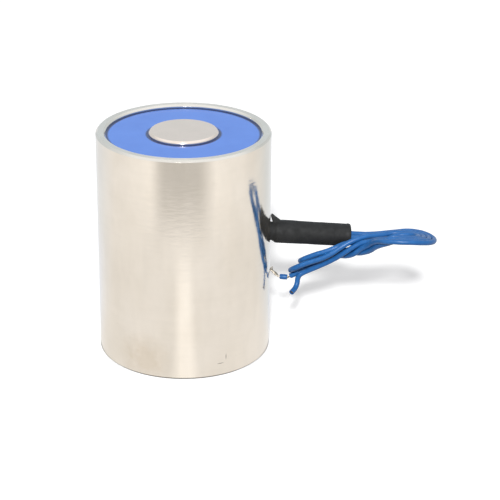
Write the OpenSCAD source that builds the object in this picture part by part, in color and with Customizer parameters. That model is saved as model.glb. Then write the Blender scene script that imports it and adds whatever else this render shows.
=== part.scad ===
// Round holding electromagnet: a plated steel cup with a central pole, a potted coil
// and two stranded leads that leave the side of the cup through a sleeve.
// Millimetres. The base rests on z = 0, the pole face looks up, the leads leave along +X.

/* [Shell] */
// Outside diameter of the shell
shell_d = 45; // [42:0.5:60]
// Overall height, from the base to the pole face
shell_h = 60; // [54:1:80]
// Thickness of the shell's side wall
shell_wall = 2.5; // [2:0.1:3]
// Thickness of the shell's base
base_t = 6; // [5:0.5:8]
// Chamfer on the turned steel edges
edge_chamfer = 0.5; // [0.2:0.1:0.8]

/* [Pole core] */
// Diameter of the central pole
core_d = 18; // [16:0.5:20]
// Diameter of the core's spigot, pressed into the base
spigot_d = 12; // [10:0.5:13]
// How far the spigot's end lies above the underside
spigot_recess = 0.2; // [0:0.1:0.5]
// Tapping bore of the mounting thread in the core's foot
thread_bore_d = 5; // [4.2:0.1:6.8]
// Length of the full bore, measured from the end of its countersink
thread_depth = 12; // [8:0.5:16]
// Width of the countersink at the thread's mouth
countersink = 0.7; // [0.3:0.1:1]

/* [Coil] */
// Gap between the pole and the bobbin's tube
bobbin_clear = 0.2; // [0.1:0.05:0.4]
// Wall of the bobbin's tube
bobbin_wall = 1; // [0.8:0.1:1.4]
// Thickness of the bobbin's flanges
flange_t = 1.2; // [1:0.1:1.6]
// Gap between the flanges and the shell
flange_clear = 0.3; // [0.2:0.05:0.5]
// Radial build of the copper winding
winding_build = 5.8; // [4.5:0.1:6]
// Thickness of the tape round the winding
tape_t = 0.3; // [0.1:0.05:0.5]
// Diameter of the winding's own ends
coil_end_d = 0.5; // [0.3:0.1:0.7]

/* [Potting] */
// Depth of the resin's surface below the pole face
face_recess = 1; // [0.6:0.1:1.6]
// Depth of the resin over the upper flange
resin_cover = 4; // [3:0.5:6]
// Height of the resin's creep up the steel at its edges
meniscus = 0.4; // [0.2:0.1:0.5]

/* [Lead sleeve] */
// Height of the lead hole's axis
lead_hole_z = 31; // [28:0.5:34]
// Outside diameter of the sleeve's neck, in the lead hole
sleeve_neck_d = 5.4; // [5:0.1:5.6]
// Gap between the neck and the lead hole
lead_hole_clear = 0.4; // [0.4:0.05:0.6]
// Outside diameter of the sleeve's body
sleeve_d = 6; // [5.8:0.1:6.4]
// Wall of the sleeve
sleeve_wall = 0.5; // [0.4:0.05:0.6]
// Length of the sleeve outside the shell
sleeve_length = 22; // [18:0.5:22]
// Length of the neck that shows outside the shell
neck_show = 1.2; // [0.8:0.1:2]
// Angle by which the sleeve droops
sleeve_droop = 6.2; // [3:0.1:7]
// Height of the torn flap at the sleeve's root
flap_h = 1.7; // [1:0.1:2.2]

/* [Leads] */
// Diameter over a lead's insulation
lead_d = 1.4; // [1.2:0.05:1.5]
// Diameter of a lead's bare stranded conductor
strand_d = 0.6; // [0.5:0.05:0.8]
// Diameter of the insulated joint between a lead and the winding
splice_d = 2; // [1.7:0.1:2.2]
// Length of that joint
splice_l = 8; // [5:0.5:10]
// Thickness of the folded hank of leads
hank_t = 2.9; // [2.8:0.1:3.2]
// Width of the hank at its waist
hank_waist = 4; // [3.6:0.1:4.4]
// Diameter of the hank's outer fold
outer_fold_d = 12.8; // [12:0.2:13.2]
// Diameter of the hank's inner fold
inner_fold_d = 10.4; // [9.6:0.2:11]

/* [Hidden] */

$fn = 96;
wire_fn = 32;
lead_sides = 8;
cut_margin = 1;

// Colours
nickel = [0.86, 0.82, 0.75];
resin_blue = [0.38, 0.55, 0.88];
lead_blue = [0.16, 0.42, 0.76];
sleeve_black = [0.2, 0.2, 0.21];
bobbin_white = [0.9, 0.89, 0.84];
copper = [0.72, 0.42, 0.25];
tape_amber = [0.85, 0.68, 0.3];
tinned = [0.72, 0.71, 0.68];

// Radii and levels of the nested turned pieces
shell_r = shell_d / 2;
bore_r = shell_r - shell_wall;
core_r = core_d / 2;
spigot_r = spigot_d / 2;
thread_r = thread_bore_d / 2;
countersink_r = thread_r + countersink;
drill_slope = 31;
drill_tip = thread_r * tan(drill_slope);
thread_mouth_z = spigot_recess + countersink;
thread_end_z = thread_mouth_z + thread_depth;
tube_in_r = core_r + bobbin_clear;
tube_out_r = tube_in_r + bobbin_wall;
flange_r = bore_r - flange_clear;
winding_r = tube_out_r + winding_build;
tape_r = winding_r + tape_t;
resin_z = shell_h - face_recess;
bobbin_top_z = resin_z - resin_cover;
winding_low_z = base_t + flange_t;
winding_top_z = bobbin_top_z - flange_t;

// Inside run of the leads, in the space between the tape and the shell
lead_run_r = (tape_r + bore_r) / 2;
lead_side = 0.8;
lead_lift = 0.2;
channel_clear = 0.1;
lead_channel_d = lead_d + 2 * channel_clear;
splice_channel_d = splice_d + 2 * channel_clear;
splice_gap = 7;
coil_end_gap = splice_gap + splice_l / 2;

// The sleeve's axis starts where the lead hole meets the outside of the shell
lead_exit = [shell_r, 0, lead_hole_z];
lead_hole_d = sleeve_neck_d + 2 * lead_hole_clear;
sleeve_axis = [cos(sleeve_droop), 0, -sin(sleeve_droop)];
sleeve_tuck = 0.4;
sleeve_inner = shell_wall + sleeve_tuck;
neck_r = sleeve_neck_d / 2;
sleeve_r = sleeve_d / 2;
sleeve_bore_r = neck_r - sleeve_wall;
mouth_bead = 0.12;
shoulder_l = 0.8;
swell = 0.1;
swell_at = 5;
flap_l = 1.7;
flap_w = 0.9;
flap_lean = 0.2;

// The hank is two round-ended bars that meet at its bend, placed from the lead exit
hank_bend = lead_exit + [24, -6.7, -4.1];
hank_far = lead_exit + [36.2, -9, -0.6];
hank_near = lead_exit + [10.5, -0.8, -8.6];
bar_overlap = 1;

// Where the leads enter the side of one bar, as distances along and up it from the bend
entry_a_at = [5.2, 0];
entry_b_at = [3.2, -0.3];
entry_run = 1.5;

// Where the tails leave the underside of the other bar, as distances along and across it
tail_a_at = [17.6, 1.5];
tail_b_at = [18.2, 0];
tail_run = 0.8;
slug_clear = 0.05;

// Free stretches, as offsets from the lead exit
lead_a_points = [[24, 0.8, -2.5], [27, 0.5, -2.6], [29, -1.2, -2.5]];
lead_b_points = [[24, -0.9, -2.9], [26, -1.2, -3], [27.3, -2.3, -2.9]];
tail_a_points = [
    [8.1, -1.8, -12.4], [7.6, -1.75, -13.4], [7.35, -2.05, -14.8], [6.7, -2.85, -15.8], [5.8, -4, -16.15]
];
tail_b_points = [[7.2, -0.15, -12.75], [5.9, 0.3, -13.5]];
strand_points = [
    [5.9, 0.3, -13.5], [5.12, 0.57, -13.95], [3.2, 1.1, -13.9], [1.8, 1.5, -12.9], [0.7, 2, -11.7]
];

// Points on the faces of the hank's bars
function unit(v) = v / norm(v);
function level_side(dir) = unit(cross([0, 0, 1], dir));
function on_bar(to, along, across, up) =
    let (dir = unit(to - hank_bend), side = level_side(dir))
        hank_bend + along * dir + across * side + up * cross(dir, side);
function entry_point(at, out) = on_bar(hank_far, at[0], hank_waist / 2 + out, at[1]);
function tail_start(at, below) = on_bar(hank_near, at[0], at[1], -hank_t / 2 - below);

// Points inside the sleeve, and in the space round the coil; turn is 1 upwards and -1 downwards
function in_sleeve(along, turn) = lead_exit + along * sleeve_axis + [0, turn * lead_side, turn * lead_lift];
function in_gap(x, rise, turn) = [x, turn * lead_side, lead_hole_z + turn * rise];
inner_steps = [[0, splice_gap], [0, 4.5], [0, 2.4], [0.3, 1.35], [1, 0.65]];
sleeve_steps = [-0.4, 3.5, 7.5, 11.5, 15.5, 19.5];
function inner_route(turn) = concat(
    [for (s = inner_steps) in_gap(lead_run_r + s[0], s[1], turn)],
    [for (along = sleeve_steps) in_sleeve(along, turn)]
);
function from_exit(points) = [for (p = points) lead_exit + p];

function entry_run_points(at) = [entry_point(at, entry_run), entry_point(at, 0)];
function tail_run_points(at) = [tail_start(at, 0), tail_start(at, tail_run)];
lead_a_route = concat(inner_route(1), from_exit(lead_a_points), entry_run_points(entry_a_at));
lead_b_route = concat(inner_route(-1), from_exit(lead_b_points), entry_run_points(entry_b_at));
tail_a_route = concat(tail_run_points(tail_a_at), from_exit(tail_a_points));
tail_b_route = concat(tail_run_points(tail_b_at), from_exit(tail_b_points));
strand_route = from_exit(strand_points);

// Round tube swept along a route, with rings carried along without twist
function tangent(route, i) = unit(route[min(i + 1, len(route) - 1)] - route[max(i - 1, 0)]);
function square_to(normal, dir) = unit(normal - (normal * dir) * dir);
function ring_normals(route, normal, i = 0) =
    i == len(route) ? []
    : let (here = square_to(normal, tangent(route, i))) concat([here], ring_normals(route, here, i + 1));

module swept_tube(route, d, first_normal = [0, 1, 0]) {
    normals = ring_normals(route, first_normal);
    turns = [for (k = [0 : lead_sides - 1]) 360 * k / lead_sides];
    points = [
        for (i = [0 : len(route) - 1])
            let (side = cross(tangent(route, i), normals[i]))
                for (a = turns) route[i] + d / 2 * (cos(a) * normals[i] + sin(a) * side)
    ];
    start_cap = [[for (k = [lead_sides - 1 : -1 : 0]) k]];
    end_cap = [[for (k = [0 : lead_sides - 1]) (len(route) - 1) * lead_sides + k]];
    walls = [
        for (i = [0 : len(route) - 2])
            for (k = [0 : lead_sides - 1])
                let (a = i * lead_sides, next = (k + 1) % lead_sides)
                    [a + k, a + next, a + lead_sides + next, a + lead_sides + k]
    ];
    polyhedron(points, concat(start_cap, walls, end_cap), convexity = 6);
}

// Stands what it holds, drawn along +Z, on one point and aims it at another
module aimed(from, to) {
    run = to - from;
    translate(from)
        rotate([0, acos(run[2] / norm(run)), atan2(run[1], run[0])])
            children();
}

// Local +Z runs out along the sleeve from the lead exit, and local -X points up
module on_sleeve_axis() {
    translate(lead_exit)
        rotate([0, 90 + sleeve_droop, 0])
            children();
}

// Cylinder along X through the lead hole's axis
module lead_hole(d, from_x, to_x) {
    translate([from_x, 0, lead_hole_z])
        rotate([0, 90, 0])
            cylinder(h = to_x - from_x, d = d);
}

// One end of the winding, from its outer turns to the joint with a lead
module coil_end(turn) {
    translate([winding_r - winding_build / 2, turn * lead_side, lead_hole_z + turn * coil_end_gap])
        rotate([0, 90, 0])
            cylinder(h = lead_run_r - winding_r + winding_build / 2, d = coil_end_d, $fn = wire_fn);
}

// Upright cylinder in the lead space, between two rises from the lead hole
module lead_column(d, low, high, turn) {
    translate(in_gap(lead_run_r, turn > 0 ? low : high, turn))
        cylinder(h = high - low, d = d, $fn = wire_fn);
}

// Deep-drawn cup with a thick base, chamfered edges and the side hole for the leads
module shell() {
    c = edge_chamfer;
    profile = [
        [spigot_r, 0], [shell_r - c, 0], [shell_r, c], [shell_r, shell_h - c], [shell_r - c, shell_h],
        [bore_r + c, shell_h], [bore_r, shell_h - c], [bore_r, base_t], [spigot_r, base_t]
    ];
    color(nickel)
        difference() {
            rotate_extrude() polygon(profile);
            lead_hole(lead_hole_d, bore_r - cut_margin, shell_r + cut_margin);
        }
}

// Turned pole with a pressed spigot and the mounting thread's bore in its foot
module core() {
    c = edge_chamfer;
    profile = [
        [0, thread_end_z + drill_tip], [thread_r, thread_end_z], [thread_r, thread_mouth_z],
        [countersink_r, spigot_recess], [spigot_r, spigot_recess], [spigot_r, base_t],
        [core_r, base_t], [core_r, shell_h - c], [core_r - c, shell_h], [0, shell_h]
    ];
    color(nickel)
        rotate_extrude() polygon(profile);
}

// Moulded spool: a thin tube between two flat flanges
module bobbin() {
    profile = [
        [tube_in_r, base_t], [flange_r, base_t], [flange_r, winding_low_z], [tube_out_r, winding_low_z],
        [tube_out_r, winding_top_z], [flange_r, winding_top_z], [flange_r, bobbin_top_z],
        [tube_in_r, bobbin_top_z]
    ];
    color(bobbin_white)
        rotate_extrude() polygon(profile);
}

// Layer-wound copper, with its two ends brought out to the joints
module winding() {
    color(copper) {
        rotate_extrude()
            translate([tube_out_r, winding_low_z])
                square([winding_build, winding_top_z - winding_low_z]);
        coil_end(1);
        coil_end(-1);
    }
}

// Tape wrapped over the winding, pierced by its ends
module coil_tape() {
    color(tape_amber)
        difference() {
            rotate_extrude()
                translate([winding_r, winding_low_z])
                    square([tape_t, winding_top_z - winding_low_z]);
            coil_end(1);
            coil_end(-1);
        }
}

// Concave edge where the resin creeps up a steel wall; side is 1 where the resin lies outside it
creep_step = 22.5;
function resin_creep(r, side) = [
    for (a = [0 : creep_step : 90])
        [r + side * meniscus * (1 - cos(a)), resin_z + meniscus * (1 - sin(a))]
];

// Cast resin over and round the coil, with the room that the leads and joints take up
module potting() {
    outer_edge = resin_creep(bore_r, -1);
    inner_edge = resin_creep(core_r, 1);
    profile = concat(
        [[core_r, bobbin_top_z], [flange_r, bobbin_top_z], [flange_r, winding_top_z]],
        [[tape_r, winding_top_z], [tape_r, winding_low_z]],
        [[flange_r, winding_low_z], [flange_r, base_t], [bore_r, base_t]],
        outer_edge,
        [for (i = [len(inner_edge) - 1 : -1 : 0]) inner_edge[i]]
    );
    color(resin_blue)
        difference() {
            rotate_extrude() polygon(profile);
            lead_hole(lead_hole_d, tape_r - cut_margin, bore_r + cut_margin);
            for (turn = [-1, 1]) {
                lead_column(lead_channel_d, 0, splice_gap + cut_margin, turn);
                lead_column(splice_channel_d, splice_gap, splice_gap + splice_l, turn);
                coil_end(turn);
            }
        }
}

// Insulated solder joint between a lead and one end of the winding
module splice(turn) {
    color(sleeve_black)
        difference() {
            lead_column(splice_d, splice_gap, splice_gap + splice_l, turn);
            coil_end(turn);
        }
}

// Shrunk sleeve: a neck through the lead hole, a body with a slight swell and a beaded mouth
module lead_sleeve() {
    body_start = neck_show + shoulder_l;
    wall_profile = [
        [sleeve_bore_r, -sleeve_inner], [neck_r, -sleeve_inner], [neck_r, neck_show],
        [sleeve_r, body_start], [sleeve_r + swell, swell_at], [sleeve_r, sleeve_length - shoulder_l],
        [sleeve_r + mouth_bead, sleeve_length - shoulder_l / 2], [sleeve_r, sleeve_length],
        [sleeve_r - sleeve_wall, sleeve_length], [sleeve_r - sleeve_wall, body_start + shoulder_l],
        [sleeve_bore_r, neck_show]
    ];
    flap_profile = [
        [-neck_r + sleeve_wall / 2, 0],
        [-sleeve_r - flap_h, -flap_lean],
        [-sleeve_r + sleeve_wall / 2, flap_l]
    ];
    color(sleeve_black)
        on_sleeve_axis() {
            rotate_extrude() polygon(wall_profile);
            translate([0, flap_w / 2, neck_show])
                rotate([90, 0, 0])
                    linear_extrude(flap_w) polygon(flap_profile);
        }
}

module lead_a() {
    color(lead_blue) swept_tube(lead_a_route, lead_d);
}

module lead_b() {
    color(lead_blue) swept_tube(lead_b_route, lead_d);
}

// One round-ended bar of the hank, from its bend to the middle of a fold
module hank_bar(to, fold_d) {
    run = norm(to - hank_bend);
    rise = asin((to[2] - hank_bend[2]) / run);
    heading = atan2(to[1] - hank_bend[1], to[0] - hank_bend[0]);
    translate(hank_bend)
        rotate([0, -rise, heading])
            linear_extrude(hank_t, center = true) {
                translate([-bar_overlap, -hank_waist / 2]) square([run + bar_overlap, hank_waist]);
                translate([run, 0]) circle(d = fold_d);
            }
}

// Outer shape of the folded leads
module lead_hank() {
    color(lead_blue) {
        hank_bar(hank_far, outer_fold_d);
        hank_bar(hank_near, inner_fold_d);
    }
}

module lead_a_tail() {
    color(lead_blue) swept_tube(tail_a_route, lead_d);
}

module lead_b_tail() {
    color(lead_blue) swept_tube(tail_b_route, lead_d);
}

// Slug of insulation left on the half-stripped lead
module lead_b_slug() {
    from = strand_route[1];
    to = strand_route[2];
    slug_l = norm(to - from);
    slug_bore_d = strand_d + 2 * slug_clear;
    color(lead_blue)
        aimed(from, to)
            difference() {
                cylinder(h = slug_l, d = lead_d, $fn = wire_fn);
                translate([0, 0, -cut_margin])
                    cylinder(h = slug_l + 2 * cut_margin, d = slug_bore_d, $fn = wire_fn);
            }
}

// Bare strands of the half-stripped lead
module lead_b_strands() {
    color(tinned) swept_tube(strand_route, strand_d);
}

shell();
core();
bobbin();
winding();
coil_tape();
potting();
splice(1);  // splice_a
splice(-1);  // splice_b
lead_sleeve();
lead_a();
lead_b();
lead_hank();
lead_a_tail();
lead_b_tail();
lead_b_slug();
lead_b_strands();
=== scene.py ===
"""Round holding electromagnet: plated steel cup, turned pole, blue cast resin and two folded leads."""

import math

import bmesh
import bpy
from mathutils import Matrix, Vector


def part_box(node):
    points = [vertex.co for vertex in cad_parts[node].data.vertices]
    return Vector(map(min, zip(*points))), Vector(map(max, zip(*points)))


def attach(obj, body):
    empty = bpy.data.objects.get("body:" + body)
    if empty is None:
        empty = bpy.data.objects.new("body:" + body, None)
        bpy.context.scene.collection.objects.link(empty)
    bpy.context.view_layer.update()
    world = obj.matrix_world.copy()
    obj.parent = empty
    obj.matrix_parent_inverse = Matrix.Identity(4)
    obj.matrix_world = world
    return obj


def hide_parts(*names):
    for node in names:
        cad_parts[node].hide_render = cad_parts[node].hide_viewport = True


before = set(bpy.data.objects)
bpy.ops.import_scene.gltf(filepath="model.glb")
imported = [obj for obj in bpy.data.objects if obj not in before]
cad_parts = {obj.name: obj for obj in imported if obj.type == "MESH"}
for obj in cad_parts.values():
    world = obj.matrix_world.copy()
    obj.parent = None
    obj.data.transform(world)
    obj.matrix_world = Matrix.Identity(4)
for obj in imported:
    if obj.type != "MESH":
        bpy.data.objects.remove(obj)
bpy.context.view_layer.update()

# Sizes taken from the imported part, in metres
MM = 0.001
MICRON = 0.001 * MM
shell_low, shell_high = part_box("shell")
pole_low, pole_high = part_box("core")
joint_low, joint_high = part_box("splice_a")
SHELL_R = (shell_high.y - shell_low.y) / 2
SHELL_H = shell_high.z
POLE_R = (pole_high.y - pole_low.y) / 2

# Steel pieces
WALL = 2.5 * MM
BASE_T = 6 * MM
EDGE = 0.5 * MM
EDGE_ROUND = 0.12 * MM
SPIGOT_R = 6 * MM
SPIGOT_RECESS = 0.2 * MM
THREAD_CREST_R = 2.5 * MM
THREAD_ROOT_R = 3.0 * MM
THREAD_PITCH = 1.0 * MM
THREAD_TURNS = 11
THREAD_STEPS = 64
THREAD_BITE = 0.05 * MM
THREAD_FILL = 0.9
THREAD_GAP = 0.05 * MM
THREAD_MOUTH = 0.9 * MM
THREAD_END = 12.9 * MM
DRILL_SLOPE = math.radians(31)
COUNTERSINK = 0.7 * MM
BORE_R = SHELL_R - WALL
TURNED_SIDES = 192
FACES_UP = 0.9

# Resin between the pole and the shell
RESIN_RECESS = 1 * MM
RESIN_COVER = 4 * MM
RESIN_CREEP = 0.15 * MM
FLANGE_R = 19.7 * MM
TAPE_R = 16.3 * MM
FLANGE_T = 1.2 * MM
CREEP_STEPS = 6
# Painted shade in the resin next to the pole and the bore: how wide the dark band is, and where it fades
# out
POLE_SHADE_LINE, POLE_SHADE_FADE = 0.5 * MM, 0.95 * MM
BORE_SHADE_LINE, BORE_SHADE_FADE = 0.4 * MM, 0.85 * MM

# Sleeve and lead hole
HOLE_R = 3.1 * MM
HOLE_BAND_LOW, HOLE_BAND_HIGH = 26 * MM, 36 * MM
DRILL_REACH = 8 * MM
DRILL_SIDES = 48
LEAD_EXIT = Vector((SHELL_R, 0, 31 * MM))
DROOP = math.radians(6.2)
SLEEVE_AXIS = Vector((math.cos(DROOP), 0, -math.sin(DROOP)))
SLEEVE_R = 3 * MM
SLEEVE_WALL = 0.5 * MM
SLEEVE_LENGTH = 21.5 * MM
SLEEVE_INNER = 2.9 * MM
NECK_R = 2.7 * MM
NECK_PINCH_R = 2.45 * MM
NECK_SHOW = 1.2 * MM
NECK_EASE = 0.4 * MM
PINCH_FROM, PINCH_TO = 0.3 * MM, 0.6 * NECK_SHOW
SHOULDER = 0.8 * MM
BODY_RINGS = 24
SWELL = 0.1 * MM
SWELL_AT, SWELL_REACH = 5 * MM, 3 * MM
MOUTH_BEAD = 0.12 * MM
SLEEVE_SIDES = 64
SLEEVE_CREASE = 50
UNEVEN_GRAIN = 3.5 * MM
UNEVEN_DEPTH = 0.16 * MM

# Torn flap on the sleeve's collar: where it starts, and its two pulls as rise, back, width and length left
FLAP_H = 1.7 * MM
FLAP_HALF = math.radians(20)
FLAP_FROM = 0.5 * NECK_SHOW
FLAP_PAST = 0.9 * MM
FLAP_DEPTH = 0.05 * MM
FLAP_PULLS = [(0.5, 0.8 * MM, 0.66, 0.62), (0.6, 0.9 * MM, 0.45, 0.3)]

# Leads
LEAD_D = 1.4 * MM
STRAND_BUNDLE_D = 0.6 * MM


def deselect_all():
    """Leaves nothing selected and no edit mode open."""
    if bpy.context.object and bpy.context.object.mode != "OBJECT":
        bpy.ops.object.mode_set(mode="OBJECT")
    bpy.ops.object.select_all(action="DESELECT")


def make_active(piece):
    """Selects one piece alone."""
    deselect_all()
    piece.select_set(True)
    bpy.context.view_layer.objects.active = piece


def apply_modifier(piece, kind, **settings):
    """Adds one modifier, sets it and applies it."""
    make_active(piece)
    modifier = piece.modifiers.new(kind.title(), kind)
    for key, value in settings.items():
        setattr(modifier, key, value)
    bpy.ops.object.modifier_apply(modifier=modifier.name)


def smooth(piece, degrees=30):
    """Shades a piece smooth up to an edge angle."""
    make_active(piece)
    bpy.ops.object.shade_smooth_by_angle(angle=math.radians(degrees))


def smooth_turned(piece):
    """Shades a turned piece smooth, with its large faces true right up to their edges."""
    smooth(piece)
    apply_modifier(piece, "WEIGHTED_NORMAL", mode="FACE_AREA", weight=100, keep_sharp=True)


def apply_place(piece):
    """Puts a piece's place and turn into its mesh."""
    make_active(piece)
    bpy.ops.object.transform_apply(location=True, rotation=True, scale=True)


def select_points(piece, test):
    """In edit mode, selects the points whose place passes the test, with their edges and faces."""
    bpy.ops.mesh.select_all(action="DESELECT")
    mesh = bmesh.from_edit_mesh(piece.data)
    for point in mesh.verts:
        point.select = test(point.co)
    mesh.select_flush_mode()
    mesh.select_flush(True)
    bmesh.update_edit_mesh(piece.data)


def turned_piece(name, outline, sides=TURNED_SIDES):
    """Turns an outline of (radius, height) pairs round the Z axis, ring by ring, and closes it.

    An outline that starts or ends on the axis is closed there by a pole, any other by its first ring.
    """
    deselect_all()
    rings = [p for p in outline if p[0] > 0]
    radius, height = rings[0]
    bpy.ops.mesh.primitive_circle_add(vertices=sides, radius=radius, location=(0, 0, 0))
    piece = bpy.context.object
    piece.name = name
    piece.data.name = name
    bpy.ops.object.mode_set(mode="EDIT")
    bpy.ops.mesh.select_mode(type="EDGE")
    bpy.ops.mesh.select_all(action="SELECT")
    bpy.ops.transform.translate(value=(0, 0, height))
    for next_radius, next_height in rings[1:]:
        bpy.ops.mesh.extrude_edges_move(TRANSFORM_OT_translate={"value": (0, 0, next_height - height)})
        scale = next_radius / radius
        bpy.ops.transform.resize(value=(scale, scale, 1), center_override=(0, 0, next_height))
        radius, height = next_radius, next_height
    if outline[-1][0] == 0:
        rise = outline[-1][1] - height
        bpy.ops.mesh.extrude_edges_move(TRANSFORM_OT_translate={"value": (0, 0, rise)})
        bpy.ops.mesh.merge(type="CENTER")
    bpy.ops.mesh.select_all(action="DESELECT")
    bpy.ops.mesh.select_non_manifold()
    if outline[0][0] == 0:
        rise = outline[0][1] - rings[0][1]
        bpy.ops.mesh.extrude_edges_move(TRANSFORM_OT_translate={"value": (0, 0, rise)})
        bpy.ops.mesh.merge(type="CENTER")
    elif outline[-1][0] > 0:
        bpy.ops.mesh.bridge_edge_loops()
    bpy.ops.mesh.select_all(action="SELECT")
    bpy.ops.mesh.normals_make_consistent(inside=False)
    bpy.ops.object.mode_set(mode="OBJECT")
    return piece


def give(piece, material, slot, *nodes):
    """Finishes a piece: its material, its body and the nodes that it stands for. The slot is not used."""
    piece.data.materials.clear()
    piece.data.materials.append(material)
    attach(piece, "root")
    if nodes:
        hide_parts(*nodes)
    return piece


# Materials

def new_material(name, **sockets):
    """A node material with its main shader, whose plain sockets are set by name."""
    material = bpy.data.materials.new(name)
    material.use_nodes = True
    shader = material.node_tree.nodes["Principled BSDF"]
    for key, value in sockets.items():
        shader.inputs[key.replace("_", " ")].default_value = value
    return material, material.node_tree, shader


def add_node(tree, kind, links=None, **settings):
    """Adds a node. Settings name its properties or its input sockets, links its linked inputs."""
    node = tree.nodes.new("ShaderNode" + kind)
    for key, value in settings.items():
        if hasattr(node, key):
            setattr(node, key, value)
        else:
            node.inputs[key.replace("_", " ")].default_value = value
    for key, output in (links or {}).items():
        tree.links.new(output, node.inputs[key])
    return node


def grain(tree, scale, detail=4.0, stretch=(1, 1, 1)):
    """Noise on object coordinates, one cell about 1 / scale metres, stretched per axis."""
    place = add_node(tree, "TexCoord")
    turn = add_node(tree, "Mapping", {"Vector": place.outputs["Object"]}, Scale=stretch)
    return add_node(tree, "TexNoise", {"Vector": turn.outputs["Vector"]},
                    Scale=scale, Detail=detail, Roughness=0.55)


def ramp(tree, factor, low, high, low_at=0.3, high_at=0.7):
    """A two-stop colour ramp; low and high are grey levels or colours."""
    node = add_node(tree, "ValToRGB", {"Fac": factor})
    for stop, at, value in zip(node.color_ramp.elements, (low_at, high_at), (low, high)):
        colour = (value, value, value) if isinstance(value, (int, float)) else value
        stop.position = at
        stop.color = (*colour, 1)
    return node.outputs["Color"]


def bump(tree, shader, height, strength, depth):
    """Feeds a height into the shader's normal."""
    node = add_node(tree, "Bump", {"Height": height}, Strength=strength, Distance=depth)
    tree.links.new(node.outputs["Normal"], shader.inputs["Normal"])


def mix_colours(tree, factor, first, second, blend="MIX"):
    """Mixes two colours; either may be a socket or a plain colour."""
    node = add_node(tree, "Mix", data_type="RGBA", blend_type=blend)
    for index, value in ((0, factor), (6, first), (7, second)):
        if hasattr(value, "node"):
            tree.links.new(value, node.inputs[index])
        else:
            node.inputs[index].default_value = value if index == 0 else (*value, 1)
    return node.outputs[2]


def spot(tree, centre, reach):
    """Soft spot on object coordinates: 1 at its centre, 0 at its reach along each axis."""
    scale = [1 / r for r in reach]
    place = add_node(tree, "TexCoord")
    turn = add_node(tree, "Mapping", {"Vector": place.outputs["Object"]},
                    Location=[-c * k for c, k in zip(centre, scale)], Scale=scale)
    ball = add_node(tree, "TexGradient", {"Vector": turn.outputs["Vector"]}, gradient_type="SPHERICAL")
    return ball.outputs["Fac"]


# Wear low on the shell's front: two short scratches and a stain, as centre and reach
SCRATCHES = [
    [(6.9 * MM, -21.4 * MM, 3.7 * MM), (1.1 * MM, 2 * MM, 0.14 * MM)],
    [(8.4 * MM, -20.9 * MM, 5.3 * MM), (0.15 * MM, 2 * MM, 0.95 * MM)],
]
STAIN = [(-12.6 * MM, -18.6 * MM, 5 * MM), (10 * MM, 10 * MM, 9 * MM)]


def nickel_plating():
    """Warm bright nickel over turned steel: cloudy, with turning lines, two scratches and a stain."""
    material, tree, shader = new_material("nickel_plating", Metallic=1.0)
    cloud = grain(tree, 70, stretch=(1, 1, 0.7))
    tint = ramp(tree, cloud.outputs["Fac"], (0.795, 0.72, 0.62), (0.86, 0.785, 0.69), 0.35, 0.65)
    streak = grain(tree, 200, detail=3, stretch=(1, 1, 0.2))
    lines = grain(tree, 1300, detail=2, stretch=(0.05, 0.05, 1))
    blotch = grain(tree, 420)
    dirt = mix_colours(tree, 1.0, spot(tree, *STAIN), blotch.outputs["Color"], "MULTIPLY")
    tones = [
        ramp(tree, streak.outputs["Fac"], 0.97, 1.0, 0.38, 0.62),
        ramp(tree, lines.outputs["Fac"], 0.985, 1.0),
        ramp(tree, dirt, (1, 1, 1), (0.93, 0.90, 0.86), 0.08, 0.4),
    ]
    tones += [ramp(tree, spot(tree, *scratch), 1.0, 0.5, 0.0, 0.5) for scratch in SCRATCHES]
    for tone in tones:
        tint = mix_colours(tree, 1.0, tint, tone, "MULTIPLY")
    tree.links.new(tint, shader.inputs["Base Color"])
    satin = grain(tree, 700, stretch=(0.5, 0.5, 1.6))
    tree.links.new(ramp(tree, satin.outputs["Fac"], 0.09, 0.16), shader.inputs["Roughness"])
    ripple = grain(tree, 1200, detail=3, stretch=(0.26, 0.26, 1))
    bump(tree, shader, ripple.outputs["Fac"], 0.5, 48 * MICRON)
    return material


def turned_steel():
    """Plated steel face with faint turning marks round the axis."""
    material, tree, shader = new_material("turned_steel", Metallic=1.0)
    cloud = grain(tree, 240)
    tint = ramp(tree, cloud.outputs["Fac"], (0.90, 0.75, 0.63), (0.94, 0.78, 0.66))
    tree.links.new(tint, shader.inputs["Base Color"])
    satin = grain(tree, 300)
    tree.links.new(ramp(tree, satin.outputs["Fac"], 0.12, 0.17), shader.inputs["Roughness"])
    place = add_node(tree, "TexCoord")
    rings = add_node(tree, "TexWave", {"Vector": place.outputs["Object"]}, wave_type="RINGS",
                     rings_direction="Z", Scale=900.0, Distortion=0.6, Detail=2.0)
    bump(tree, shader, rings.outputs["Fac"], 0.1, 4 * MICRON)
    return material


def turned_rim():
    """Plated rim, where the turning marks run round the axis and spread the light across them."""
    material, tree, shader = new_material(
        "turned_rim", Metallic=1.0, Anisotropic=0.8, Anisotropic_Rotation=0.25)
    cloud = grain(tree, 240)
    tint = ramp(tree, cloud.outputs["Fac"], (0.79, 0.73, 0.64), (0.85, 0.79, 0.70))
    tree.links.new(tint, shader.inputs["Base Color"])
    satin = grain(tree, 300)
    tree.links.new(ramp(tree, satin.outputs["Fac"], 0.26, 0.34), shader.inputs["Roughness"])
    round_axis = add_node(tree, "Tangent", direction_type="RADIAL", axis="Z")
    tree.links.new(round_axis.outputs["Tangent"], shader.inputs["Tangent"])
    return material


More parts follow.
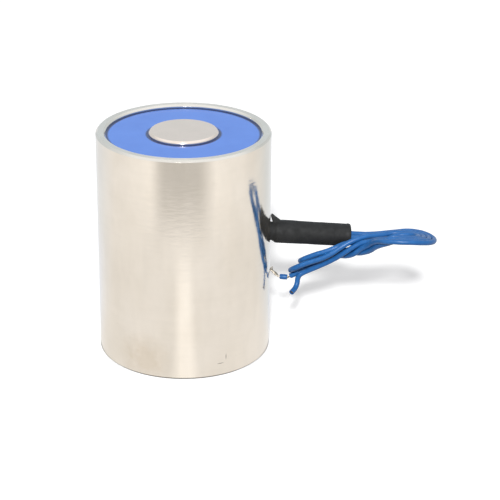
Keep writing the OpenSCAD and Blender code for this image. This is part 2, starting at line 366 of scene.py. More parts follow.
def blue_resin():
    """Glossy cast resin, a little cloudy, with flow ripples and a painted shade line where it meets the
    steel.
    """
    material, tree, shader = new_material("blue_resin", Roughness=0.1, IOR=1.5)
    cloud = grain(tree, 160)
    tint = ramp(tree, cloud.outputs["Fac"], (0.062, 0.195, 0.68), (0.074, 0.22, 0.73))
    place = add_node(tree, "TexCoord")
    flat = add_node(tree, "VectorMath", {0: place.outputs["Object"]}, operation="MULTIPLY")
    flat.inputs[1].default_value = (1, 1, 0)
    radius = add_node(tree, "VectorMath", {0: flat.outputs["Vector"]}, operation="LENGTH")
    share = add_node(tree, "MapRange", {"Value": radius.outputs["Value"]},
                     From_Min=POLE_R, From_Max=BORE_R)
    # Painted shade: the colour goes dark next to the pole and the bore, for the shade in the crevice there
    edge = add_node(tree, "ValToRGB", {"Fac": share.outputs["Result"]})
    stops = edge.color_ramp.elements
    dark, clear = (0.10, 0.12, 0.16, 1), (1, 1, 1, 1)
    gap = BORE_R - POLE_R
    stops[0].position, stops[0].color = POLE_SHADE_LINE / gap, dark
    stops[1].position, stops[1].color = 1 - BORE_SHADE_LINE / gap, dark
    for at in (POLE_SHADE_FADE / gap, 1 - BORE_SHADE_FADE / gap):
        stops.new(at).color = clear
    tint = mix_colours(tree, 1.0, tint, edge.outputs["Color"], "MULTIPLY")
    tree.links.new(tint, shader.inputs["Base Color"])
    ripple = grain(tree, 220, detail=1)
    bump(tree, shader, ripple.outputs["Fac"], 0.25, 50 * MICRON)
    return material


def lead_insulation():
    """Blue extruded insulation with a soft shine."""
    material, tree, shader = new_material("lead_insulation", IOR=1.36)
    cloud = grain(tree, 500)
    tint = ramp(tree, cloud.outputs["Fac"], (0.013, 0.098, 0.30), (0.022, 0.13, 0.37))
    tree.links.new(tint, shader.inputs["Base Color"])
    shine = grain(tree, 1500)
    tree.links.new(ramp(tree, shine.outputs["Fac"], 0.3, 0.42), shader.inputs["Roughness"])
    fine = grain(tree, 2500, detail=2)
    bump(tree, shader, fine.outputs["Fac"], 0.15, 30 * MICRON)
    return material


def shrunk_black():
    """Matt black shrunk tubing with a mottled sheen."""
    material, tree, shader = new_material("shrunk_black", IOR=1.4)
    cloud = grain(tree, 420)
    tint = ramp(tree, cloud.outputs["Fac"], 0.007, 0.014)
    tree.links.new(tint, shader.inputs["Base Color"])
    sheen = grain(tree, 800)
    tree.links.new(ramp(tree, sheen.outputs["Fac"], 0.6, 0.8), shader.inputs["Roughness"])
    fine = grain(tree, 1600)
    bump(tree, shader, fine.outputs["Fac"], 0.35, 60 * MICRON)
    return material


def tinned_strand():
    """Bare tinned copper strand."""
    material, tree, shader = new_material("tinned_strand", Metallic=1.0)
    cloud = grain(tree, 2600)
    tint = ramp(tree, cloud.outputs["Fac"], (0.40, 0.35, 0.28), (0.62, 0.57, 0.50))
    tree.links.new(tint, shader.inputs["Base Color"])
    tree.links.new(ramp(tree, cloud.outputs["Fac"], 0.35, 0.5), shader.inputs["Roughness"])
    return material


def cut_copper_painted_shade():
    """Cut face of the conductor, painted near black: painted shade for the shade inside the lead's sunk
    end.
    """
    material, tree, shader = new_material("cut_copper_painted_shade", Metallic=1.0)
    cloud = grain(tree, 4000)
    # Painted shade: the strands' tips are coloured near black for the shade in the lead's end
    tint = ramp(tree, cloud.outputs["Fac"], (0.10, 0.08, 0.07), (0.30, 0.22, 0.17))
    tree.links.new(tint, shader.inputs["Base Color"])
    tree.links.new(ramp(tree, cloud.outputs["Fac"], 0.4, 0.6), shader.inputs["Roughness"])
    return material


def moulded_nylon():
    """Natural moulded nylon of the bobbin."""
    material, tree, shader = new_material("moulded_nylon", IOR=1.53)
    cloud = grain(tree, 300)
    tint = ramp(tree, cloud.outputs["Fac"], (0.74, 0.71, 0.62), (0.82, 0.79, 0.71))
    tree.links.new(tint, shader.inputs["Base Color"])
    tree.links.new(ramp(tree, cloud.outputs["Fac"], 0.35, 0.5), shader.inputs["Roughness"])
    return material


def wound_copper():
    """Enamelled copper winding, wire beside wire, with painted shade in the grooves between the wires."""
    material, tree, shader = new_material("wound_copper", Metallic=1.0)
    place = add_node(tree, "TexCoord")
    wires = add_node(tree, "TexWave", {"Vector": place.outputs["Object"]}, bands_direction="Z",
                     Scale=630.0, Distortion=0.4)
    # Painted shade: the bands go dark in the grooves between the wires and keep the copper's colour on
    # their crowns
    tint = ramp(tree, wires.outputs["Fac"], (0.28, 0.10, 0.04), (0.78, 0.36, 0.18), 0.1, 0.7)
    tree.links.new(tint, shader.inputs["Base Color"])
    tree.links.new(ramp(tree, wires.outputs["Fac"], 0.5, 0.25), shader.inputs["Roughness"])
    bump(tree, shader, wires.outputs["Fac"], 0.6, 100 * MICRON)
    return material


def coil_tape_film():
    """Amber film tape round the winding."""
    material, tree, shader = new_material("coil_tape_film", IOR=1.6)
    cloud = grain(tree, 200, stretch=(1, 1, 0.2))
    tint = ramp(tree, cloud.outputs["Fac"], (0.50, 0.26, 0.05), (0.66, 0.38, 0.09))
    tree.links.new(tint, shader.inputs["Base Color"])
    tree.links.new(ramp(tree, cloud.outputs["Fac"], 0.15, 0.3), shader.inputs["Roughness"])
    return material


NICKEL = nickel_plating()
TURNED = turned_steel()
RIM = turned_rim()
RESIN = blue_resin()
INSULATION = lead_insulation()
SLEEVE_BLACK = shrunk_black()
TINNED = tinned_strand()
CUT_COPPER_PAINTED_SHADE = cut_copper_painted_shade()
NYLON = moulded_nylon()
COPPER = wound_copper()
TAPE = coil_tape_film()


# Camera

CAMERA_PLACE = (-44.276 * MM, -421.256 * MM, 210.623 * MM)
CAMERA_TURN = (66.5216, -0.5344, -8.0994)
LENS = 126.432
SENSOR_WIDTH = 36
CLIP_START = 10 * MM


def add_camera():
    """Camera at the photograph's place, turn and focal length."""
    deselect_all()
    turn = [math.radians(a) for a in CAMERA_TURN]
    bpy.ops.object.camera_add(location=CAMERA_PLACE, rotation=turn)
    camera = bpy.context.object
    camera.data.lens = LENS
    camera.data.sensor_width = SENSOR_WIDTH
    camera.data.clip_start = CLIP_START
    bpy.context.scene.camera = camera


add_camera()


# Leads: places along the hank are worked out in millimetres round its centre line

HANK_LEFT = Vector((33.1, -0.9, 21.1))
HANK_WAIST = Vector((46.2, -6.3, 28.3))
HANK_RIGHT = Vector((56.55, -9.84, 32.07))
HANK_HALF = 14
RIGHT_TILT = math.radians(-12.4)
LEFT_TILT = math.radians(161)
TWIST_FROM, TWIST_TO = -0.66, 0.45
SAG = 3.6
SAG_FROM = 0.7
SPREAD_BY = 0.75
FLAT_FROM = 0.35
JOIN_AT = 0.7
FOLD_POINTS = 8
LANE_POINTS = 12

# Lanes of the two leads as (across, up, along) from the centre line, in millimetres
FAR_OUTER = [(8.0, 0, 0), (6.6, -0.07, 0)]
NEAR_OUTER = [(-8.0, 0, 0), (-6.6, 0.07, 0)]
FAR_INNER = [(5.2, -0.14, 0), (3.8, -0.21, 0)]
NEAR_INNER = [(-5.2, 0.14, 0), (-3.8, 0.21, 0)]
WAIST_BACK = [(1.8, 0.68, 0), (1.08, -0.68, 0)]
WAIST_END = [(0.35, 0.68, 0), (-0.37, -0.68, 0)]
WAIST_OUT = [(-1.1, 0.68, 0), (-1.82, -0.68, 0)]
LEFT_BACK = [(4.2, -0.3, -0.9), (3.1, -1.65, 1.5)]
LEFT_OUT = [(-4.2, -0.3, -0.9), (-3.1, -1.65, 1.5)]
LEFT_END = [(0.9, 1.5, 0), (-0.7, 0.7, 0)]

# Start of each lead, in millimetres: steps out from its joint and off the hole's level,
# places along the sleeve, and how far it lies to its side and off the middle's level
INSIDE_STEPS = [(0, 7), (0, 4.5), (0, 2.4), (0.3, 1.35), (1, 0.65)]
IN_SLEEVE = (-0.4, 3.5, 7.5, 11.5, 15.5, 19.5)
LEAD_SIDE = 0.8
LEAD_LIFT = 0.2

# Listed points, in millimetres from the lead hole
ENTRIES = [
    [(24, 0.8, -2.5), (27, 0.5, -2.6)],
    [(24, -0.9, -2.9), (26, -1.2, -3)],
]
LEAVING = [(9.15, -1.9, -11.7), (8.95, -0.3, -11.7)]
TAILS = [
    [(8.1, -1.8, -12.4), (7.6, -1.75, -13.4), (7.35, -2.05, -14.8), (6.7, -2.85, -15.8),
     (5.8, -4, -16.15)],
    [(7.2, -0.15, -12.75), (5.9, 0.3, -13.5)],
]
STRAND_ROUTE = [
    (5.9, 0.3, -13.5), (5.12, 0.57, -13.95), (3.2, 1.1, -13.9), (1.8, 1.5, -12.9), (0.7, 2, -11.7),
]


def ease(q):
    """Soft start and stop from 0 to 1."""
    q = min(1, max(0, q))
    return q * q * (3 - 2 * q)


def on_hank(s, across, up, along):
    """A place at s from -1, the left fold, to 1, the right fold, between which the section turns over."""
    left, waist, right = HANK_LEFT, HANK_WAIST, HANK_RIGHT
    centre = left * (s * (s - 1) / 2) + waist * (1 - s * s) + right * (s * (s + 1) / 2)
    forward = (left * (s - 0.5) - waist * (2 * s) + right * (s + 0.5)).normalized()
    level = Vector((0, 0, 1)).cross(forward).normalized()
    above = forward.cross(level)
    turn = RIGHT_TILT + (LEFT_TILT - RIGHT_TILT) * ease((TWIST_TO - s) / (TWIST_TO - TWIST_FROM))
    flat = level * math.cos(turn) + above * math.sin(turn)
    sag = Vector((0, 0, SAG * max(0, s + along / HANK_HALF - SAG_FROM) ** 2))
    return centre + forward * along + flat * across + forward.cross(flat) * up - sag


def run(start, end, left, waist, right, count=LANE_POINTS):
    """Points of one run along the hank, pinched at the waist. The right side spreads, then flattens."""
    points = []
    for i in range(count + 1):
        s = start + (end - start) * i / count
        if s < 0:
            side, spread, flatten = left, ease(-s), ease(-s)
        else:
            side, spread, flatten = right, ease(s / SPREAD_BY), ease((s - FLAT_FROM) / (1 - FLAT_FROM))
        shares = (spread, flatten, spread)
        points.append(on_hank(s, *[w + (e - w) * q for w, e, q in zip(waist, side, shares)]))
    return points


def fold(s, start, end):
    """Points of the half turn round one end of the hank."""
    middle = (start[0] + end[0]) / 2
    radius = (start[0] - end[0]) / 2
    points = []
    for i in range(1, FOLD_POINTS):
        q = i / FOLD_POINTS
        angle = math.pi * q
        up = start[1] + (end[1] - start[1]) * q
        along = start[2] + (end[2] - start[2]) * q + s * abs(radius) * math.sin(angle)
        points.append(on_hank(s, middle + radius * math.cos(angle), up, along))
    return points


def from_hole(points):
    """Listed offsets from the lead hole as places, in millimetres."""
    return [LEAD_EXIT / MM + Vector(p) for p in points]


def lead_route(i):
    """One lead from its joint, through the sleeve, twice round the hank and out to its end."""
    turn = (1, -1)[i]
    joint_x = (joint_low.x + joint_high.x) / 2 / MM
    level = LEAD_EXIT.z / MM
    points = [Vector((joint_x + out, turn * LEAD_SIDE, level + turn * rise)) for out, rise in INSIDE_STEPS]
    lift = Vector((0, turn * LEAD_SIDE, turn * LEAD_LIFT))
    points += [LEAD_EXIT / MM + SLEEVE_AXIS * along + lift for along in IN_SLEEVE]
    points += from_hole(ENTRIES[i])
    points += [on_hank(s, *FAR_OUTER[i]) for s in (JOIN_AT, 1)]
    points += fold(1, FAR_OUTER[i], NEAR_OUTER[i])
    points += run(1, -1, LEFT_OUT[i], WAIST_OUT[i], NEAR_OUTER[i])
    points += fold(-1, LEFT_OUT[i], LEFT_BACK[i])
    points += run(-1, 1, LEFT_BACK[i], WAIST_BACK[i], FAR_INNER[i])
    points += fold(1, FAR_INNER[i], NEAR_INNER[i])
    points += run(1, -1, LEFT_END[i], WAIST_END[i], NEAR_INNER[i])
    points += from_hole([LEAVING[i], *TAILS[i]])
    return points


def curve_through(name, points, thickness, ring=5, steps=6):
    """A round cord along one smooth curve through points given in millimetres."""
    curve = bpy.data.curves.new(name, "CURVE")
    curve.dimensions = "3D"
    curve.bevel_depth = thickness / 2
    curve.bevel_resolution = ring
    curve.resolution_u = steps
    curve.use_fill_caps = True
    spline = curve.splines.new("BEZIER")
    spline.bezier_points.add(len(points) - 1)
    for knot, place in zip(spline.bezier_points, points):
        knot.co = place * MM
        knot.handle_left_type = knot.handle_right_type = "AUTO"
    piece = bpy.data.objects.new(name, curve)
    bpy.context.scene.collection.objects.link(piece)
    return piece


LEAD_A_ROUTE = lead_route(0)
LEAD_B_ROUTE = lead_route(1)
cut_lead = curve_through("cut_lead", LEAD_A_ROUTE, LEAD_D)
stripped_lead = curve_through("stripped_lead", LEAD_B_ROUTE, LEAD_D)
give(cut_lead, INSULATION, "lead_blue", "lead_a", "lead_hank", "lead_a_tail")
give(stripped_lead, INSULATION, "lead_blue", "lead_b", "lead_b_tail")


# Ends of the leads

def stand_on(piece, place, direction):
    """Turns a piece made along Z to a direction, and moves its foot to a place."""
    piece.location = place
    piece.rotation_euler = Vector((0, 0, 1)).rotation_difference(direction).to_euler()
    apply_place(piece)


STRANDS = 7
CUT_LENGTH = 0.5 * MM
CUT_WALL_R = 0.5 * MM
CUT_ROUND = 0.05 * MM
CUT_SIDES = 32
CUT_STRAND_R = 0.16 * MM
CUT_STRAND_CROWN = 0.03 * MM
CUT_STRAND_SIDES = 16
CUT_STRAND_RING = 0.33 * MM
CORE_SINK = 0.25 * MM


def add_cut_end():
    """Square-cut end of the insulation, with the conductor's strands a little inside it."""
    end, before = LEAD_A_ROUTE[-1] * MM, LEAD_A_ROUTE[-2] * MM
    direction = (end - before).normalized()
    ring = turned_piece("cut_end", [
        (CUT_WALL_R, 0), (LEAD_D / 2, 0), (LEAD_D / 2, CUT_LENGTH), (CUT_WALL_R, CUT_LENGTH),
    ], CUT_SIDES)
    apply_modifier(ring, "BEVEL", width=CUT_ROUND, segments=2, limit_method="ANGLE")
    smooth(ring)
    stand_on(ring, end, direction)
    strands = []
    top = CUT_LENGTH - CORE_SINK
    for k in range(STRANDS):
        strand = turned_piece("strand", [
            (0, 0), (CUT_STRAND_R, 0), (CUT_STRAND_R, top), (0, top + CUT_STRAND_CROWN),
        ], CUT_STRAND_SIDES)
        angle = 2 * math.pi * k / (STRANDS - 1)
        reach = CUT_STRAND_RING if k < STRANDS - 1 else 0
        strand.location = (reach * math.cos(angle), reach * math.sin(angle), 0)
        apply_place(strand)
        strands.append(strand)
    make_active(strands[0])
    for strand in strands:
        strand.select_set(True)
    bpy.ops.object.join()
    bundle = bpy.context.object
    bundle.name = "cut_strands"
    smooth(bundle)
    stand_on(bundle, end, direction)
    give(ring, INSULATION, "lead_blue")
    give(bundle, CUT_COPPER_PAINTED_SHADE, "copper")
    return [ring, bundle]


SLUG_FROM, SLUG_TO = 1, 2
SLUG_SWELL = 1.04
SLUG_ROUND = 0.12 * MM
SLUG_SIDES = 40


def add_slug():
    """Slug of insulation that was pushed along the bare strands."""
    start = from_hole(STRAND_ROUTE)[SLUG_FROM] * MM
    end = from_hole(STRAND_ROUTE)[SLUG_TO] * MM
    length = (end - start).length
    slug = turned_piece("slug", [
        (STRAND_BUNDLE_D / 2, 0), (LEAD_D / 2, 0), (LEAD_D / 2 * SLUG_SWELL, length / 2),
        (LEAD_D / 2, length), (STRAND_BUNDLE_D / 2, length),
    ], SLUG_SIDES)
    apply_modifier(slug, "BEVEL", width=SLUG_ROUND, segments=3, limit_method="ANGLE")
    smooth(slug)
    stand_on(slug, start, (end - start).normalized())
    return give(slug, INSULATION, "lead_blue", "lead_b_slug")


# Bare strands: the ring that they lie on, their lay and their splay along the route, in millimetres
STRAND_D = 0.26 * MM
STRAND_RING = 0.24
STRAND_LAY = 5.0
STRAND_SPLAY = [0, 0, 0, 0.12, 0.55]
SPLAY_SHARES = (0.5, 0.75, 1.0)


def add_bare_strands():
    """Bare tinned strands, twisted as far as the slug and frayed at the tip."""
    route = from_hole(STRAND_ROUTE)
    pieces = []
    for k in range(STRANDS):
        points = []
        run_so_far = 0.0
        for j, place in enumerate(route):
            ahead = route[min(j + 1, len(route) - 1)] - route[max(j - 1, 0)]
            ahead.normalize()
            side = ahead.cross(Vector((0, 0, 1))).normalized()
            above = side.cross(ahead)
            if j:
                run_so_far += (place - route[j - 1]).length
            angle = 2 * math.pi * (k / (STRANDS - 1) + run_so_far / STRAND_LAY)
            splay = STRAND_SPLAY[j] * SPLAY_SHARES[k % len(SPLAY_SHARES)]
            reach = STRAND_RING + splay if k < STRANDS - 1 else 0
            points.append(place + (side * math.cos(angle) + above * math.sin(angle)) * reach)
        pieces.append(curve_through(f"strand_{k}", points, STRAND_D, ring=2, steps=8))
    make_active(pieces[0])
    for piece in pieces:
        piece.select_set(True)
    bpy.ops.object.convert(target="MESH")
    bpy.ops.object.join()
    bundle = bpy.context.object
    bundle.name = "bare_strands"
    return give(bundle, TINNED, "tinned_copper", "lead_b_strands")


cut_end_pieces = add_cut_end()
slug = add_slug()
bare_strands = add_bare_strands()


# Sleeve

def add_sleeve():
    """Shrunk sleeve: a neck in the lead hole, a torn collar, an uneven body and a beaded mouth."""
    body = NECK_SHOW + SHOULDER
    outline = [
        (NECK_R - SLEEVE_WALL, -SLEEVE_INNER), (NECK_R, -SLEEVE_INNER), (NECK_R, -NECK_EASE),
        (NECK_PINCH_R, PINCH_FROM), (NECK_PINCH_R, PINCH_TO), (NECK_R, NECK_SHOW),
        (SLEEVE_R, body - NECK_EASE),
    ]
    for i in range(BODY_RINGS):
        along = body + (SLEEVE_LENGTH - SHOULDER - body) * i / (BODY_RINGS - 1)
        swell = SWELL * math.exp(-((along - SWELL_AT) / SWELL_REACH) ** 2)
        outline.append((SLEEVE_R + swell, along))
    outline += [
        (SLEEVE_R + MOUTH_BEAD, SLEEVE_LENGTH - SHOULDER / 2), (SLEEVE_R, SLEEVE_LENGTH),
        (SLEEVE_R - SLEEVE_WALL, SLEEVE_LENGTH), (SLEEVE_R - SLEEVE_WALL, body + SHOULDER),
        (NECK_R - SLEEVE_WALL, NECK_SHOW),
    ]
    sleeve = turned_piece("sleeve", outline, SLEEVE_SIDES)
    bpy.ops.object.mode_set(mode="EDIT")
    bpy.ops.mesh.select_mode(type="FACE")

    def on_flap(place):
        """True for the outer points at the top of the collar."""
        near_top = abs(math.atan2(place.y, -place.x)) < FLAP_HALF
        outside = math.hypot(place.x, place.y) > NECK_PINCH_R - FLAP_DEPTH
        return near_top and outside and FLAP_FROM < place.z < body + FLAP_PAST

    select_points(sleeve, on_flap)
    for rise, back, wide, long in FLAP_PULLS:
        bpy.ops.mesh.extrude_region_move(TRANSFORM_OT_translate={"value": (-FLAP_H * rise, 0, -back)})
        bpy.ops.transform.resize(value=(1, wide, long))
    bpy.ops.object.mode_set(mode="OBJECT")
    uneven = bpy.data.textures.new("sleeve_uneven", "CLOUDS")
    uneven.noise_scale = UNEVEN_GRAIN
    apply_modifier(sleeve, "DISPLACE", texture=uneven, texture_coords="LOCAL", strength=UNEVEN_DEPTH,
                   mid_level=0.5)
    smooth(sleeve, SLEEVE_CREASE)
    sleeve.location = LEAD_EXIT
    sleeve.rotation_euler = (0, math.radians(90) + DROOP, 0)
    apply_place(sleeve)
    return give(sleeve, SLEEVE_BLACK, "sleeve_black", "lead_sleeve")


sleeve = add_sleeve()


# Steel pieces and resin

def add_shell():
    """Plated cup with broken edges and the lead hole."""
    shell = turned_piece("plated_shell", [
        (SPIGOT_R, 0), (SHELL_R - EDGE, 0), (SHELL_R, EDGE),
        (SHELL_R, HOLE_BAND_LOW), (SHELL_R, HOLE_BAND_HIGH), (SHELL_R, SHELL_H - EDGE),
        (SHELL_R - EDGE, SHELL_H), (BORE_R + EDGE, SHELL_H), (BORE_R, SHELL_H - EDGE),
        (BORE_R, HOLE_BAND_HIGH), (BORE_R, HOLE_BAND_LOW), (BORE_R, BASE_T), (SPIGOT_R, BASE_T),
    ])
    drill = turned_piece("drill", [
        (0, -DRILL_REACH), (HOLE_R, -DRILL_REACH), (HOLE_R, DRILL_REACH), (0, DRILL_REACH),
    ], DRILL_SIDES)
    drill.location = LEAD_EXIT
    drill.rotation_euler = (0, math.radians(90) + DROOP, 0)
    apply_place(drill)
    apply_modifier(shell, "BOOLEAN", object=drill, operation="DIFFERENCE", solver="EXACT")
    bpy.data.objects.remove(drill)
    apply_modifier(shell, "BEVEL", width=EDGE_ROUND, segments=2, limit_method="ANGLE")
    smooth_turned(shell)
    give(shell, NICKEL, "nickel_steel", "shell")
    shell.data.materials.append(RIM)
    for face in shell.data.polygons:
        if face.normal.z > FACES_UP and face.center.z > SHELL_H - EDGE:
            face.material_index = 1


def add_thread():
    """Ridge of the mounting thread: a three-cornered section wound up the hole and closed at both ends."""
    deselect_all()
    bpy.ops.mesh.primitive_circle_add(vertices=3, radius=THREAD_PITCH)
    thread = bpy.context.object
    root = THREAD_ROOT_R + THREAD_BITE
    corners = [(root, 0), (THREAD_CREST_R, THREAD_PITCH / 2), (root, THREAD_PITCH)]
    for corner, (radius, height) in zip(thread.data.vertices, corners):
        corner.co = (radius, 0, THREAD_MOUTH + THREAD_GAP + height * THREAD_FILL)
    apply_modifier(thread, "SCREW", axis="Z", steps=THREAD_STEPS, render_steps=THREAD_STEPS,
                   screw_offset=THREAD_PITCH, iterations=THREAD_TURNS, use_normal_calculate=True)
    bpy.ops.object.mode_set(mode="EDIT")
    bpy.ops.mesh.select_all(action="SELECT")
    bpy.ops.mesh.fill_holes(sides=3)
    bpy.ops.mesh.select_all(action="SELECT")
    bpy.ops.mesh.normals_make_consistent(inside=False)
    bpy.ops.object.mode_set(mode="OBJECT")
    return thread


def add_pole():
    """Turned pole with its spigot, and the mounting thread in its foot."""
    tip = THREAD_END + THREAD_ROOT_R * math.tan(DRILL_SLOPE)
    pole = turned_piece("turned_pole", [
        (0, tip), (THREAD_ROOT_R, THREAD_END), (THREAD_ROOT_R, THREAD_MOUTH),
        (THREAD_ROOT_R + COUNTERSINK, SPIGOT_RECESS), (SPIGOT_R, SPIGOT_RECESS), (SPIGOT_R, BASE_T),
        (POLE_R, BASE_T), (POLE_R, SHELL_H - EDGE), (POLE_R - EDGE, SHELL_H), (0, SHELL_H),
    ])
    apply_modifier(pole, "BEVEL", width=EDGE_ROUND, segments=2, limit_method="ANGLE")
    thread = add_thread()
    make_active(pole)
    thread.select_set(True)
    bpy.ops.object.join()
    smooth_turned(pole)
    give(pole, TURNED, "nickel_steel", "core")


def creep(wall_r, inward):
    """Outline of the resin that creeps up one steel wall, from the wall to the level surface."""
    level = SHELL_H - RESIN_RECESS
    points = []
    for i in range(CREEP_STEPS + 1):
        angle = math.pi / 2 * i / CREEP_STEPS
        away = RESIN_CREEP * (1 - math.cos(angle))
        points.append((wall_r + inward * away, level + RESIN_CREEP * (1 - math.sin(angle))))
    return points


def add_resin():
    """Cast resin that fills the shell round the coil and creeps up the steel at its edges."""
    flange_top = SHELL_H - RESIN_RECESS - RESIN_COVER
    winding_top = flange_top - FLANGE_T
    winding_low = BASE_T + FLANGE_T
    outline = [
        (POLE_R, flange_top), (FLANGE_R, flange_top), (FLANGE_R, winding_top), (TAPE_R, winding_top),
        (TAPE_R, winding_low), (FLANGE_R, winding_low), (FLANGE_R, BASE_T), (BORE_R, BASE_T),
    ]
    resin = turned_piece("cast_resin", outline + creep(BORE_R, -1) + creep(POLE_R, 1)[::-1])
    smooth_turned(resin)
    give(resin, RESIN, "resin_blue", "potting")


add_shell()
add_pole()
add_resin()

INSIDE_FINISH = {
    "bobbin": NYLON, "winding": COPPER, "coil_tape": TAPE,
    "splice_a": SLEEVE_BLACK, "splice_b": SLEEVE_BLACK,
}
for node, material in INSIDE_FINISH.items():
    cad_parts[node].data.materials.clear()
    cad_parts[node].data.materials.append(material)


# Floor, world and light

FLOOR_SIZE = 6.0
FLOOR_DROP = 0.02 * MM
FLOOR_PAINT = 0.9
FLOOR_LIFT = 0.21
FLOOR_BOUNCE = 0.3
DOME_LOW, DOME_TOP = (0.12, 0.12, 0.13), (0.72, 0.72, 0.73)
SKY_LOW, SKY_TOP = (0.70, 0.78, 0.85), (1.06, 1.13, 1.22)
SKY_FROM, SKY_TO = 0.45, 0.8
KEY_AIM = Vector((20 * MM, 0, 30 * MM))
KEY_AZIMUTH = math.radians(-10)
KEY_HEIGHT = math.radians(34)
KEY_DISTANCE = 3.0
KEY_SIZE = 0.28
KEY_POWER = 92.0

# What steel mirrors of the floor, painted light and shade: tones by bearing from the camera, in three
# zones outwards
CAMERA_BEARING = math.radians(96)
MIRROR_STRENGTH = 1.3
MIDDLE_FROM, MIDDLE_TO = 0.078, 0.108
FAR_FROM, FAR_TO = 0.108, 0.15
# Painted shade round the shell's foot, seen in the steel only
FOOT_R = SHELL_R + 0.8 * MM
FOOT_SHADE = 0.12


def grey(level):
    """A neutral tone."""
    return (level, level, level)


PAINTED_TONE_BEHIND = (0.90, 0.93, 0.97)
# Painted highlight: the bright streak straight in front, seen in the shell's lower side
NEAR_PAINTED_TONES = [
    (-130, (0.92, 0.96, 1.03)), (-95, grey(0.96)), (-40, grey(0.98)), (-12, grey(0.98)),
    (-4, grey(1.22)), (4, grey(1.22)), (12, grey(0.98)), (60, grey(0.97)), (95, grey(0.94)),
    (130, (0.83, 0.89, 0.96)),
]
MIDDLE_PAINTED_TONES = [
    (-130, (0.92, 0.96, 1.01)), (-95, grey(0.99)), (-30, grey(1.0)), (0, grey(1.04)), (30, grey(1.0)),
    (95, grey(0.98)), (130, (0.83, 0.89, 0.95)),
]
# Painted shade: the dark band far out in front, seen in the shell's upper side, with painted bright edges
FAR_PAINTED_TONES = [
    (-130, (0.86, 0.90, 0.95)), (-95, grey(0.98)), (-60, grey(1.08)), (-42, grey(1.17)),
    (-36, grey(1.02)), (-29, grey(0.80)), (-23, grey(0.71)), (16, grey(0.71)), (24, grey(0.82)),
    (32, grey(1.0)), (39, grey(1.13)), (60, grey(1.06)), (95, grey(0.97)), (130, (0.83, 0.89, 0.95)),
]


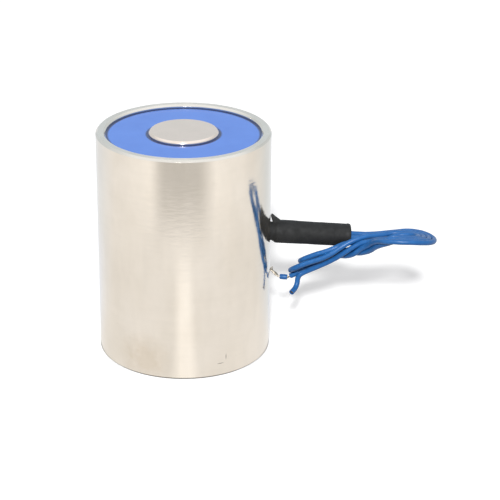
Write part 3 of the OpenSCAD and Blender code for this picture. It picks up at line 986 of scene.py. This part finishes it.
def add_floor():
    """White floor that keeps the soft shadow, and shows the steel painted light and shade: a painted
    bright streak, a painted dark band and painted shade at the foot.
    """
    deselect_all()
    bpy.ops.mesh.primitive_plane_add(size=FLOOR_SIZE, location=(0, 0, -FLOOR_DROP))
    floor = bpy.context.object
    floor.name = "floor"
    material = bpy.data.materials.new("white_floor")
    material.use_nodes = True
    tree = material.node_tree
    tree.nodes.clear()
    path = add_node(tree, "LightPath")
    paint = add_node(tree, "BsdfDiffuse", Color=(*grey(FLOOR_PAINT), 1))
    dim_paint = add_node(tree, "BsdfDiffuse", Color=(*grey(FLOOR_BOUNCE), 1))
    lift = add_node(tree, "Emission", Strength=FLOOR_LIFT)
    lifted = add_node(tree, "AddShader")
    tree.links.new(paint.outputs[0], lifted.inputs[0])
    tree.links.new(lift.outputs[0], lifted.inputs[1])
    seen = add_node(tree, "MixShader", {"Fac": path.outputs["Is Camera Ray"]})
    tree.links.new(dim_paint.outputs[0], seen.inputs[1])
    tree.links.new(lifted.outputs[0], seen.inputs[2])
    place = add_node(tree, "TexCoord").outputs["Object"]
    turn = add_node(tree, "Mapping", {"Vector": place}, Rotation=(0, 0, CAMERA_BEARING))
    bearing = add_node(tree, "TexGradient", {"Vector": turn.outputs["Vector"]}, gradient_type="RADIAL")
    radius = add_node(tree, "VectorMath", {0: place}, operation="LENGTH").outputs["Value"]

    def tones_round(tones):
        """Tones by bearing, in degrees to the right of the camera, closed behind the object."""
        node = add_node(tree, "ValToRGB", {"Fac": bearing.outputs["Fac"]})
        stops = node.color_ramp.elements
        stops[0].color = stops[1].color = [t / MIRROR_STRENGTH for t in PAINTED_TONE_BEHIND] + [1]
        for degrees, tone in tones:
            stop = stops.new(0.5 + degrees / 360)
            stop.color = [t / MIRROR_STRENGTH for t in tone] + [1]
        return node.outputs["Color"]

    far = add_node(tree, "MapRange", {"Value": radius}, From_Min=FAR_FROM, From_Max=FAR_TO)
    foot = add_node(tree, "MapRange", {"Value": radius},
                    From_Min=SHELL_R, From_Max=FOOT_R, To_Min=FOOT_SHADE)
    middle = add_node(tree, "MapRange", {"Value": radius}, From_Min=MIDDLE_FROM, From_Max=MIDDLE_TO)
    tone = tones_round(NEAR_PAINTED_TONES)
    tone = mix_colours(tree, middle.outputs["Result"], tone, tones_round(MIDDLE_PAINTED_TONES))
    tone = mix_colours(tree, far.outputs["Result"], tone, tones_round(FAR_PAINTED_TONES))
    tone = mix_colours(tree, 1.0, tone, foot.outputs["Result"], "MULTIPLY")
    # The floor glows with these painted tones in glossy rays only: painted reflections
    mirror = add_node(tree, "Emission", {"Color": tone}, Strength=MIRROR_STRENGTH)
    mixed = add_node(tree, "MixShader", {"Fac": path.outputs["Is Glossy Ray"]})
    tree.links.new(seen.outputs[0], mixed.inputs[1])
    tree.links.new(mirror.outputs[0], mixed.inputs[2])
    out = add_node(tree, "OutputMaterial")
    tree.links.new(mixed.outputs[0], out.inputs["Surface"])
    floor.data.materials.append(material)


def add_world():
    """White to the camera, a pale sky in the steel, and a fill from above on everything else."""
    world = bpy.data.worlds.new("studio")
    bpy.context.scene.world = world
    world.use_nodes = True
    tree = world.node_tree
    tree.nodes.clear()
    path = add_node(tree, "LightPath")
    place = add_node(tree, "TexCoord")
    split = add_node(tree, "SeparateXYZ", {"Vector": place.outputs["Generated"]})
    dome = ramp(tree, split.outputs["Z"], DOME_LOW, DOME_TOP, 0.0, 1.0)
    fill = add_node(tree, "Background", {"Color": dome}, Strength=1.0)
    sky = ramp(tree, split.outputs["Z"], SKY_LOW, SKY_TOP, SKY_FROM, SKY_TO)
    shine = add_node(tree, "Background", {"Color": sky}, Strength=1.0)
    white = add_node(tree, "Background", Color=(1, 1, 1, 1), Strength=1.0)
    glossy = add_node(tree, "MixShader", {"Fac": path.outputs["Is Glossy Ray"]})
    tree.links.new(fill.outputs[0], glossy.inputs[1])
    tree.links.new(shine.outputs[0], glossy.inputs[2])
    seen = add_node(tree, "MixShader", {"Fac": path.outputs["Is Camera Ray"]})
    tree.links.new(glossy.outputs[0], seen.inputs[1])
    tree.links.new(white.outputs[0], seen.inputs[2])
    out = add_node(tree, "OutputWorld")
    tree.links.new(seen.outputs[0], out.inputs["Surface"])


def add_key_light():
    """Soft key from behind the camera."""
    deselect_all()
    level = math.cos(KEY_HEIGHT)
    away = Vector((math.sin(KEY_AZIMUTH) * level, -math.cos(KEY_AZIMUTH) * level, math.sin(KEY_HEIGHT)))
    bpy.ops.object.light_add(type="AREA", location=KEY_AIM + away * KEY_DISTANCE)
    key = bpy.context.object
    key.rotation_euler = away.to_track_quat("Z", "Y").to_euler()
    key.data.shape = "DISK"
    key.data.size = KEY_SIZE
    key.data.energy = KEY_POWER


add_floor()
add_world()
add_key_light()
bpy.context.scene.view_settings.view_transform = "Standard"
